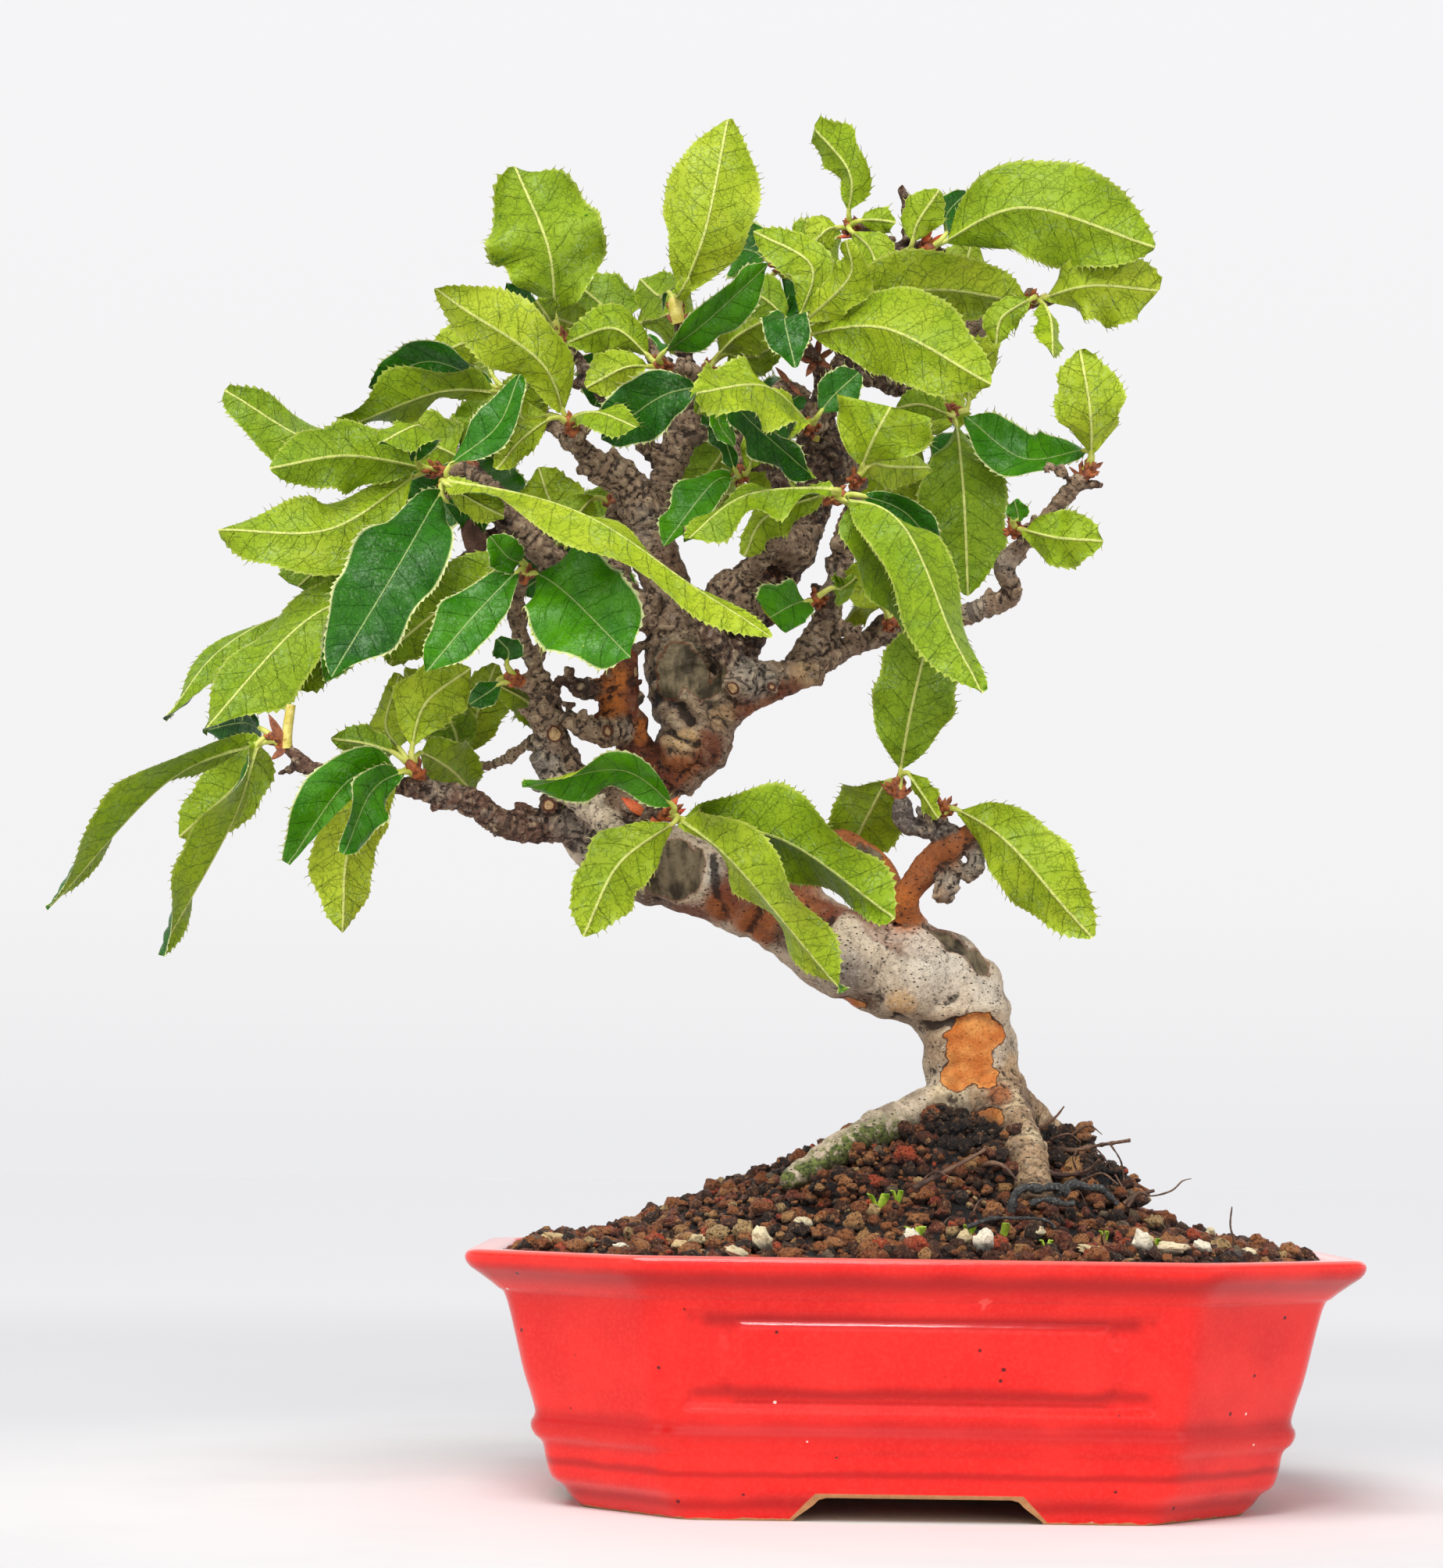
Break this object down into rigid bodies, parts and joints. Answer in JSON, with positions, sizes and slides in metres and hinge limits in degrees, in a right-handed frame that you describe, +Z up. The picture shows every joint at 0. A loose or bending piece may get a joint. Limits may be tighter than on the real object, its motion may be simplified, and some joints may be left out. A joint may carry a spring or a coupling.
{
  "type": "quince bonsai in a pot",
  "caption": "Potted bonsai tree: an S-curved trunk with leafy twigs stands in a mound of granular soil in a shallow glazed pot with cut corners and feet.",
  "frame": {"origin": "middle of the underside of the whole object's bounding box, on the surface that the pot's feet stand on", "axes": "+X to the right as the picture shows the tree, -Y towards the viewer at the front of the pot, +Z up"},
  "size_m": [0.2382, 0.118, 0.2611],
  "materials": {
    "red_glaze": "gloss",
    "screen_plastic": "matte",
    "granular_soil": "matte",
    "bark": "matte",
    "leaf": "satin"
  },
  "bodies": {
    "root": {"pot": "red_glaze", "drain_screen_left": "screen_plastic", "drain_screen_right": "screen_plastic", "soil": "granular_soil", "wood": "bark", "spray_back_left_end": "leaf", "spray_back_low_end": "leaf", "spray_back_mid_end": "leaf", "spray_back_right_end": "leaf", "spray_back_top_end": "leaf", "spray_back_top_right_end": "leaf", "spray_behind_right_end": "leaf", "spray_crown_bud": "leaf", "spray_crown_front_end": "leaf", "spray_crown_left": "leaf", "spray_crown_mid": "leaf", "spray_crown_mid_left": "leaf", "spray_far_left_end": "leaf", "spray_far_right_end": "leaf", "spray_far_right_mid": "leaf", "spray_far_right_side": "leaf", "spray_fork_low_end": "leaf", "spray_front_low": "leaf", "spray_front_spur_end": "leaf", "spray_leader_bud": "leaf", "spray_leader_front": "leaf", "spray_left_arm_end": "leaf", "spray_left_branch": "leaf", "spray_left_hidden_end": "leaf", "spray_left_leader_end": "leaf", "spray_left_riser_side": "leaf", "spray_left_riser_top": "leaf", "spray_left_tip": "leaf", "spray_left_twig_end": "leaf", "spray_low_right_mid": "leaf", "spray_low_right_top": "leaf", "spray_outer_right_end": "leaf", "spray_right_riser_end": "leaf", "spray_riser_side": "leaf", "spray_thin_riser_end": "leaf", "spray_top_left_end": "leaf", "spray_top_mid_end": "leaf", "spray_top_right_end": "leaf", "spray_upper_left_end": "leaf"}
  },
  "joints": []
}
